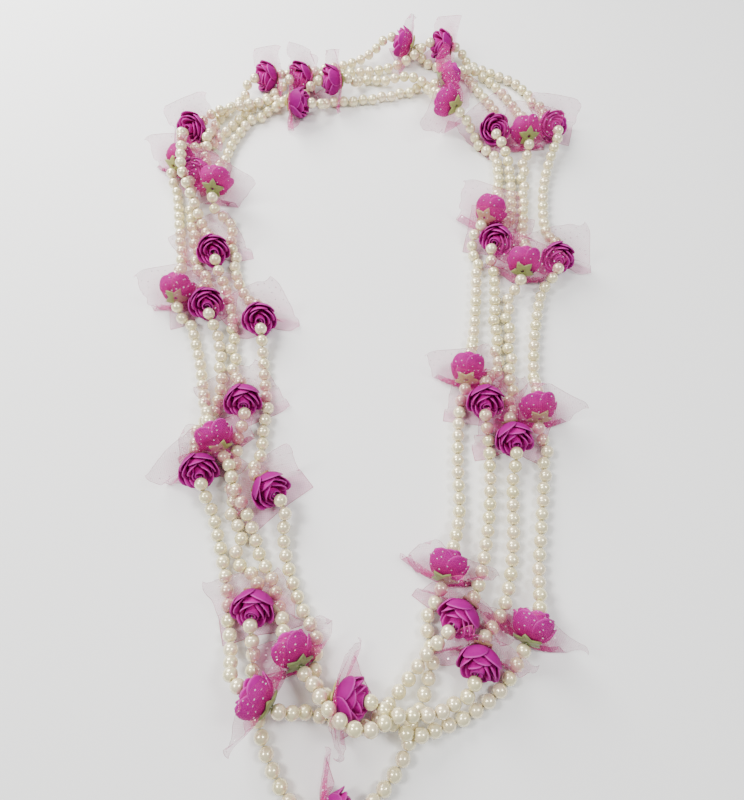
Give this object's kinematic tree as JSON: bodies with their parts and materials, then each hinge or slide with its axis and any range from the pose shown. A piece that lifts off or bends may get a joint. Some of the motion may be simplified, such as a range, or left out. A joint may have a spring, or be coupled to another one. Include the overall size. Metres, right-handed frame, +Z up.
{
  "type": "flower garland",
  "caption": "Garland of pearl-bead strings with small foam roses in tulle, lying flat in a long loop of several strands.",
  "frame": {"origin": "middle of the footprint, on the surface that the garland lies on", "axes": "+Y along the loop's length, towards its wider end, +X across it to the right, +Z up off the surface"},
  "size_m": [0.2525, 0.4542, 0.0387],
  "materials": {
    "pearl": "pearl lacquer over round plastic beads, soft gloss with a cream tint",
    "foam_petal": "thin magenta foam sheet, matt, darker in the folds and lighter on the curled edges",
    "calyx_green": "thin pale olive foam star behind the petals, matt",
    "pink_tulle": "see-through pink net with small silver and pink glitter dots",
    "thread": "clear to white beading thread"
  },
  "bodies": {
    "root": {"pearls_one_01": "pearl", "pearls_one_02": "pearl", "pearls_one_03": "pearl", "pearls_one_04": "pearl", "pearls_one_05": "pearl", "pearls_two_01": "pearl", "pearls_two_02": "pearl", "pearls_two_03": "pearl", "pearls_two_04": "pearl", "pearls_two_05": "pearl", "pearls_three_01": "pearl", "pearls_three_02": "pearl", "pearls_three_03": "pearl", "pearls_three_04": "pearl", "pearls_three_05": "pearl", "pearls_three_06": "pearl", "pearls_three_07": "pearl", "pearls_three_08": "pearl", "pearls_three_09": "pearl", "pearls_three_10": "pearl", "rose_one_01": "foam_petal", "rose_one_02": "foam_petal", "rose_one_03": "foam_petal", "rose_one_04": "foam_petal", "rose_one_05": "foam_petal", "rose_one_06": "foam_petal", "rose_one_07": "foam_petal", "rose_one_08": "foam_petal", "rose_one_09": "foam_petal", "rose_one_10": "foam_petal", "rose_two_01": "foam_petal", "rose_two_02": "foam_petal", "rose_two_03": "foam_petal", "rose_two_04": "foam_petal", "rose_two_05": "foam_petal", "rose_two_06": "foam_petal", "rose_two_07": "foam_petal", "rose_two_08": "foam_petal", "rose_two_09": "foam_petal", "rose_two_10": "foam_petal", "rose_three_01": "foam_petal", "rose_three_02": "foam_petal", "rose_three_03": "foam_petal", "rose_three_04": "foam_petal", "rose_three_05": "foam_petal", "rose_three_06": "foam_petal", "rose_three_07": "foam_petal", "rose_three_08": "foam_petal", "rose_three_09": "foam_petal", "rose_three_10": "foam_petal", "rose_three_11": "foam_petal", "rose_three_12": "foam_petal", "rose_three_13": "foam_petal", "rose_three_14": "foam_petal", "rose_three_15": "foam_petal", "rose_three_16": "foam_petal", "rose_three_17": "foam_petal", "rose_three_18": "foam_petal", "rose_three_19": "foam_petal", "rose_three_20": "foam_petal"}
  },
  "joints": []
}
